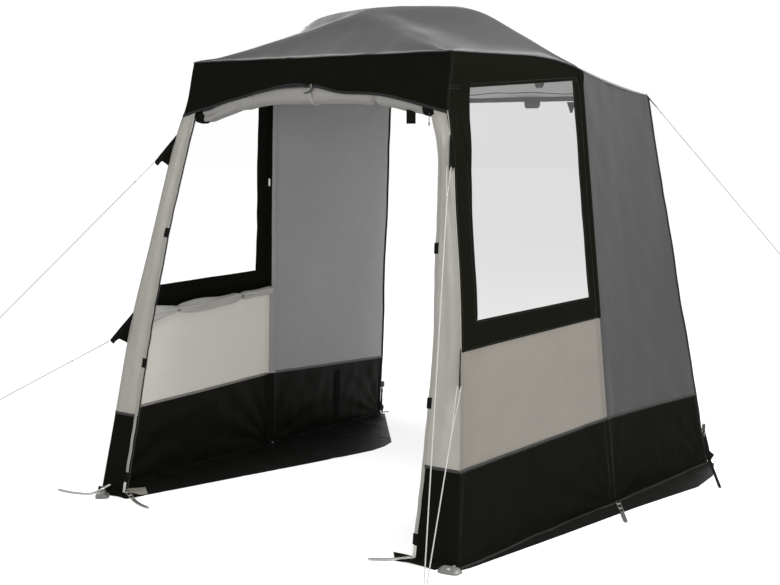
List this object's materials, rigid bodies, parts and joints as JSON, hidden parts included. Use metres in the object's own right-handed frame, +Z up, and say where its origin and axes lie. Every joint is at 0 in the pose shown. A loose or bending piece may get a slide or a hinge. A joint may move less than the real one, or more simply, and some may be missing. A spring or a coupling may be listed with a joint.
{
  "type": "tailgate tent",
  "caption": "Cloth tailgate tent on splayed legs with a domed roof, rolled-up front door, clear side windows, mud walls and guy lines; open at the rear.",
  "frame": {"origin": "on the ground, midway between the outermost guy pegs from side to side and from front to rear", "axes": "+Z up, -Y out of the front doorway, +X to the right of someone looking in at the doorway"},
  "size_m": [3.766, 4.006, 2.1816],
  "materials": {
    "beige_cloth": "coated polyester taffeta, matt with fine weave",
    "black_cloth": "coated polyester taffeta, slight sheen",
    "grey_cloth": "coated polyester taffeta, matt",
    "clear_film": "clear soft window film",
    "pole_steel": "dark powder-coated tube",
    "peg_steel": "zinc-plated steel",
    "pale_cord": "braided polyester cord"
  },
  "bodies": {
    "root": {"foot_plate_left": "peg_steel", "foot_plate_right": "peg_steel", "front_fascia": "black_cloth", "front_leg_left": "pole_steel", "front_leg_right": "pole_steel", "front_mud_panel_left": "black_cloth", "front_mud_panel_right": "black_cloth", "front_panel_left": "beige_cloth", "front_panel_right": "beige_cloth", "guy_left_lower": "pale_cord", "guy_left_upper": "pale_cord", "guy_patch_left_lower": "black_cloth", "guy_patch_left_upper": "black_cloth", "guy_patch_right_lower": "black_cloth", "guy_patch_right_upper": "black_cloth", "guy_peg_front_left": "peg_steel", "guy_peg_front_right": "peg_steel", "guy_peg_rear_left": "peg_steel", "guy_peg_rear_right": "peg_steel", "guy_rear_left": "pale_cord", "guy_rear_right": "pale_cord", "guy_right_lower": "pale_cord", "guy_right_upper": "pale_cord", "lower_panel_left": "beige_cloth", "lower_panel_right": "beige_cloth", "mid_leg_left": "pole_steel", "mid_leg_right": "pole_steel", "mud_flap_left": "black_cloth", "mud_flap_right": "black_cloth", "mud_wall_left": "black_cloth", "mud_wall_right": "black_cloth", "rear_panel_left": "grey_cloth", "rear_panel_right": "grey_cloth", "rear_roof": "grey_cloth", "rear_top_pole": "pole_steel", "rolled_blind_left": "beige_cloth", "rolled_blind_right": "beige_cloth", "rolled_door": "beige_cloth", "roof_canopy": "grey_cloth", "roof_pole_a": "pole_steel", "roof_pole_b": "pole_steel", "side_fascia_left": "black_cloth", "side_fascia_right": "black_cloth", "window_film_left": "clear_film", "window_film_right": "clear_film", "window_surround_left": "black_cloth", "window_surround_right": "black_cloth"}
  },
  "joints": []
}
